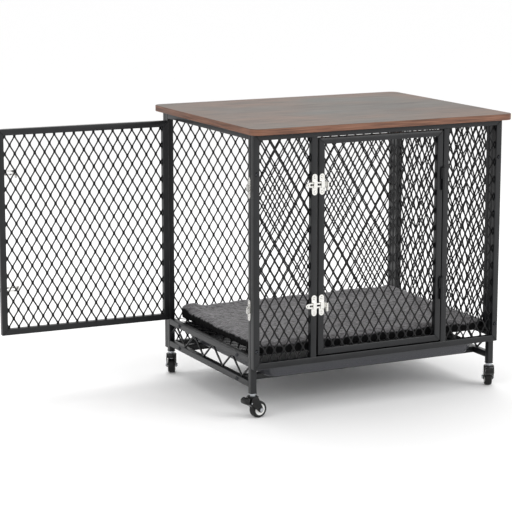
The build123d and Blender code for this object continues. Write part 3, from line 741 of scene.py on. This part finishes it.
# %% Casters and tray
FORK_EASE, BRAKE_EASE, TRAY_EASE = 0.7 * MM, 0.6 * MM, 0.5 * MM
casters = ("front_left", "front_right", "rear_left", "rear_right")
for corner in casters:
    piece = eased_copy(f"caster_fork_{corner}", FORK_EASE, segments=2)
    dress(piece, fork_nylon)
    stand_for(piece, f"caster_fork_{corner}")
    paint_node(f"caster_axle_{corner}", zinc)
    paint_node(f"caster_hub_{corner}", hub_plastic)
    paint_node(f"caster_tyre_{corner}", tread_rubber)
for corner in casters[:2]:
    piece = eased_copy(f"caster_brake_{corner}", BRAKE_EASE, segments=2)
    dress(piece, fork_nylon)
    stand_for(piece, f"caster_brake_{corner}")
tray_piece = eased_copy("tray", TRAY_EASE, segments=2)
dress(tray_piece, tray_skin)
stand_for(tray_piece, "tray")
print("tray", triangles(tray_piece), "triangles")

# %% [markdown]
# ## The plush pad
#
# The pad is a thin bed: black cloth round its sides and below, long grey plush on top.  Its
# border stands up where it meets the cage, most at the left rear corner.  It is a slab, remeshed
# into even faces, whose upper side is lifted by a smooth function of the distance to the edge, so
# the border is tall and its black side shows.  A cloth simulation then inflates it a little,
# which rounds it as stuffing does.

# %% Pad slab
PAD_SHRINK = 4 * MM                         # room left all round for the stuffing to swell
PAD_THICK = 13 * MM
PAD_FOOT = 1.5 * MM                         # room left below it
PAD_CORNER = 22 * MM
PAD_GRID = 5.5 * MM
PAD_BORDER = 85 * MM                        # how far in from the edge the border starts to rise
PAD_LIFT_TOP = 21 * MM                      # the highest the border may rise
pad_low, pad_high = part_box("pad")
pad_middle = (pad_low + pad_high) / 2
pad_half = (pad_high - pad_low) / 2


def smooth_step(value):
    value = min(max(value, 0.0), 1.0)
    return value * value * (3 - 2 * value)


SIDE_LIFT = {"left": 5 * MM, "right": 12 * MM, "front": 5 * MM, "rear": 9 * MM}
LEFT_REAR_MORE = 6 * MM                     # the left border is higher towards the rear
LEFT_FRONT_MORE = 3 * MM
REAR_REACH = 0.8                            # how fast the left border rises on its way to the rear
RIGHT_REAR_MORE = 3 * MM
CORNER_MORE = 12 * MM                       # and highest of all in the left rear corner
FRONT_RUFFLE, REAR_RUFFLE = 4 * MM, 3 * MM
RUFFLE_WAVES = (62, 23)                     # radians per metre along the pad


def border_lift(x, y):
    """How far the pad's border is lifted at a place, in metres."""
    u, v = (x - pad_middle.x) / pad_half.x, (y - pad_middle.y) / pad_half.y
    near_x = smooth_step(1 - (1 - abs(u)) * pad_half.x / PAD_BORDER)
    near_y = smooth_step(1 - (1 - abs(v)) * pad_half.y / PAD_BORDER)
    left, right = (near_x, 0) if u < 0 else (0, near_x)
    front, rear = (near_y, 0) if v < 0 else (0, near_y)
    ruffle = 0.5 + 0.5 * math.sin(x * RUFFLE_WAVES[0]) * math.cos(x * RUFFLE_WAVES[1] + 1)
    to_rear, to_front = smooth_step(v * REAR_REACH), smooth_step(-v)
    lift = max(left * (SIDE_LIFT["left"] + LEFT_REAR_MORE * to_rear + LEFT_FRONT_MORE * to_front),
               right * (SIDE_LIFT["right"] + RIGHT_REAR_MORE * v),
               front * (SIDE_LIFT["front"] + FRONT_RUFFLE * ruffle),
               rear * (SIDE_LIFT["rear"] + REAR_RUFFLE * ruffle))
    return min(lift + CORNER_MORE * left * rear, PAD_LIFT_TOP)


def pad_slab():
    bpy.ops.object.select_all(action="DESELECT")
    bpy.ops.mesh.primitive_cube_add(size=1, location=(0, 0, 0))
    slab = bpy.context.active_object
    slab.scale = (2 * (pad_half.x - PAD_SHRINK), 2 * (pad_half.y - PAD_SHRINK), PAD_THICK)
    slab.location = (pad_middle.x, pad_middle.y, pad_low.z + PAD_FOOT + PAD_THICK / 2)
    apply_place(slab)
    start_edit(slab)
    select_edges(slab, lambda a, b: abs(a.z - b.z) > PAD_THICK / 2)
    bpy.ops.mesh.bevel(offset=PAD_CORNER, segments=5, affect="EDGES")
    finish_edit()
    remesh = slab.modifiers.new("even", "REMESH")
    remesh.mode = "VOXEL"
    remesh.voxel_size = PAD_GRID
    apply_modifiers(slab)
    base = pad_low.z + PAD_FOOT
    for vertex in slab.data.vertices:
        height = smooth_step((vertex.co.z - base) / PAD_THICK)
        vertex.co.z += height * border_lift(vertex.co.x, vertex.co.y)
    slab.name = "plush_pad"
    return slab


pad = pad_slab()
print("pad slab:", len(pad.data.vertices), "points")

# %% Inflate the pad
PAD_PRESSURE = 4.0
CLOTH_STEPS = 20
PAD_CAP = 6 * MM                            # the furthest that the stuffing may move a point


def inflate(piece, pressure, frames, cap):
    """Swell a closed mesh with cloth pressure, and limit how far any point moves."""
    rest = [vertex.co.copy() for vertex in piece.data.vertices]
    cloth = piece.modifiers.new("stuffing", "CLOTH")
    cloth.settings.use_pressure = True
    cloth.settings.uniform_pressure_force = pressure
    cloth.settings.effector_weights.gravity = 0
    cloth.point_cache.frame_start = 1
    cloth.point_cache.frame_end = frames
    for step in range(1, frames + 1):
        bpy.context.scene.frame_set(step)
    apply_modifiers(piece)
    for vertex, start in zip(piece.data.vertices, rest):
        move = vertex.co - start
        if move.length > cap:
            vertex.co = start + move.normalized() * cap
    bpy.context.scene.frame_set(1)


inflate(pad, PAD_PRESSURE, CLOTH_STEPS, PAD_CAP)
smoother = pad.modifiers.new("finer", "SUBSURF")
smoother.levels = smoother.render_levels = 1
apply_modifiers(pad)
print("pad:", triangles(pad), "triangles")

# %% [markdown]
# ## Pile on the pad
#
# Plush is a cut pile that clumps into small lumps.  The clumps are real shape here: each point
# moves along its normal by a noise some 9 mm wide.  The share of pile at a point is stored as an
# attribute, 1 on top and 0 on the cloth side, with a ragged line between them, and the fabric's
# colour and fuzz follow it.

# %% Clumps
CLUMP, CLUMP_HEIGHT = 9 * MM, 2.2 * MM
FRINGE, FRINGE_HEIGHT = 7 * MM, 1.3 * MM    # folds in the cloth of the sides
RAGGED, RAGGED_SHARE = 6 * MM, 0.35         # how the pile's lower line wanders
PILE_START, PILE_FADE = 0.4, 0.4            # upward part of the normal where the pile begins
PAD_SETTLE = 7 * MM                         # what is lower than this is drawn down to the bottom
FLOOR_ROOM = 0.8 * MM
FIBRE_DEPTH = 0.9 * MM
pile_share = []
bottom = pad_low.z + FLOOR_ROOM
normals = [vertex.normal.copy() for vertex in pad.data.vertices]
for vertex, normal in zip(pad.data.vertices, normals):
    ragged = noise.noise(vertex.co / RAGGED) * RAGGED_SHARE
    share = smooth_step((normal.z + ragged - PILE_START) / PILE_FADE)
    pile_share.append(share)
    clump = noise.noise(vertex.co / CLUMP) + 0.5 * noise.noise(vertex.co / (CLUMP * 0.45))
    fringe = noise.noise(Vector((vertex.co.x, vertex.co.y, vertex.co.z * 0.2)) / FRINGE)
    vertex.co += normal * (share * clump * CLUMP_HEIGHT + (1 - share) * fringe * FRINGE_HEIGHT)
    above = max(vertex.co.z - bottom, 0)
    vertex.co.z = bottom + above * smooth_step(above / PAD_SETTLE)
pile = pad.data.attributes.new("pile", "FLOAT", "POINT")
pile.data.foreach_set("value", pile_share)
print("pile covers", round(100 * sum(pile_share) / len(pile_share)), "% of the pad's points")


# %% Plush material
def plush():
    material, tree, shader, place = new_material("long_pile_plush_fabric")
    share = add_node(tree, "ShaderNodeAttribute", attribute_name="pile").outputs["Fac"]
    # Single fibres are too fine to show, so the pattern draws tufts of them 1.8 mm wide.
    fibres = grain(tree, place, 1.8, stretch=(1, 1, 2), detail=4, roughness=0.7)
    clumps = grain(tree, place, 11, detail=3)
    top = add_node(tree, "ShaderNodeValToRGB", {"Fac": clumps}, [
        (0.32, "#3b393c"), (0.50, "#5c5a5e"), (0.68, "#807d81")])
    side = add_node(tree, "ShaderNodeValToRGB", {"Fac": fibres}, [(0.35, "#060606"), (0.65, "#141415")])
    # Painted light and shade on the plush top: the fibre pattern lightens the tufts' tips and darkens the
    # gaps between them.
    tuft_light_and_shade = add_node(tree, "ShaderNodeValToRGB", {"Fac": fibres}, [(0.30, "#6e6e70"), (0.62, "#ffffff")])
    inputs = {"Factor": 0.8, "A": top.outputs["Color"], "B": tuft_light_and_shade.outputs["Color"]}
    lit = add_node(tree, "ShaderNodeMix", inputs, data_type="RGBA", blend_type="MULTIPLY")
    inputs = {"Factor": share, "A": side.outputs["Color"], "B": lit.outputs["Result"]}
    colour = add_node(tree, "ShaderNodeMix", inputs, data_type="RGBA")
    tree.links.new(colour.outputs["Result"], shader.inputs["Base Color"])
    shader.inputs["Roughness"].default_value = 0.95
    shader.inputs["Specular IOR Level"].default_value = 0.1
    fuzz = add_node(tree, "ShaderNodeMapRange", {"Value": share, "To Min": 0.0, "To Max": 0.45})
    tree.links.new(fuzz.outputs["Result"], shader.inputs["Sheen Weight"])
    shader.inputs["Sheen Roughness"].default_value = 0.6
    bump = add_node(tree, "ShaderNodeBump", {"Height": fibres, "Strength": 1.0, "Distance": FIBRE_DEPTH})
    tree.links.new(bump.outputs["Normal"], shader.inputs["Normal"])
    return material


# The plush gives the eye a soft mottled grey with a pale fuzz, above a plain black cloth side.
dress(pad, plush())
stand_for(pad, "pad")
print("pad box, m:", [round(side, 3) for side in pad.dimensions])

# %% [markdown]
# ## Floor, light and camera
#
# A plain pale floor and a bright, even room show black steel best: a big soft key from the right
# front, a weak fill from the left, and a broad light above that lays a sheen on the board.  The
# camera stands nearly five metres away with a long lens, half a metre above the board.

# %% Stage
bpy.ops.object.select_all(action="DESELECT")
bpy.ops.mesh.primitive_plane_add(size=60, location=(0, 0, 0))
studio_floor = bpy.context.active_object
studio_floor.name = "studio_floor"
# Matt and nearly white, so the floor fades into the room and only soft shadows show.
floor_paint, _, floor_shader, _ = new_material("matt_white_paint")
floor_shader.inputs["Base Color"].default_value = linear("#fbfbfb")
floor_shader.inputs["Roughness"].default_value = 0.9
studio_floor.data.materials.append(floor_paint)
studio_floor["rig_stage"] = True

ROOM_STRENGTH = 1.03
world = bpy.data.worlds.new("studio_room")
world.use_nodes = True
world.node_tree.nodes["Background"].inputs["Color"].default_value = linear("#ffffff")
world.node_tree.nodes["Background"].inputs["Strength"].default_value = ROOM_STRENGTH
bpy.context.scene.world = world
bpy.context.scene.view_settings.view_transform = "Standard"
print("room light:", ROOM_STRENGTH)


# %% Lights
def soft_light(name, place, aim, size, watts):
    lamp = bpy.data.lights.new(name, "AREA")
    lamp.shape = "RECTANGLE"
    lamp.size, lamp.size_y = size
    lamp.energy = watts
    holder = bpy.data.objects.new(name, lamp)
    holder.location = place
    holder.rotation_euler = (Vector(aim) - Vector(place)).to_track_quat("-Z", "Y").to_euler()
    bpy.context.scene.collection.objects.link(holder)
    print(name, "light:", watts, "W")


soft_light("key", place=(2.6, -3.4, 2.2), aim=(0.2, 0, 0.35), size=(2.0, 2.0), watts=60)
soft_light("fill", place=(-3.4, -1.6, 1.6), aim=(0.1, 0, 0.35), size=(1.6, 2.2), watts=12)
soft_light("overhead", place=(0.4, 1.6, 3.0), aim=(0.2, 0, 0.6), size=(3.0, 1.6), watts=30)

# %% Camera
CAMERA_PLACE = (-2.026, -4.089, 1.219)
CAMERA_TURN = 26.5                          # degrees, from +Y towards +X
CAMERA_DIP = 10.95                          # degrees below the horizon
CAMERA_LENS, CAMERA_SENSOR = 134.06, 36     # millimetres
camera_data = bpy.data.cameras.new("camera")
camera_data.sensor_width = CAMERA_SENSOR
camera_data.lens = CAMERA_LENS
camera = bpy.data.objects.new("camera", camera_data)
camera.location = CAMERA_PLACE
camera.rotation_euler = (math.radians(90 - CAMERA_DIP), 0, math.radians(-CAMERA_TURN))
bpy.context.scene.collection.objects.link(camera)
bpy.context.scene.camera = camera
print("camera at", CAMERA_PLACE, "with a lens of", CAMERA_LENS, "mm")

# %% Measure and finish
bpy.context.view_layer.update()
total = sum(triangles(piece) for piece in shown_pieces() if piece.type == "MESH")
print("the object has", total, "triangles")
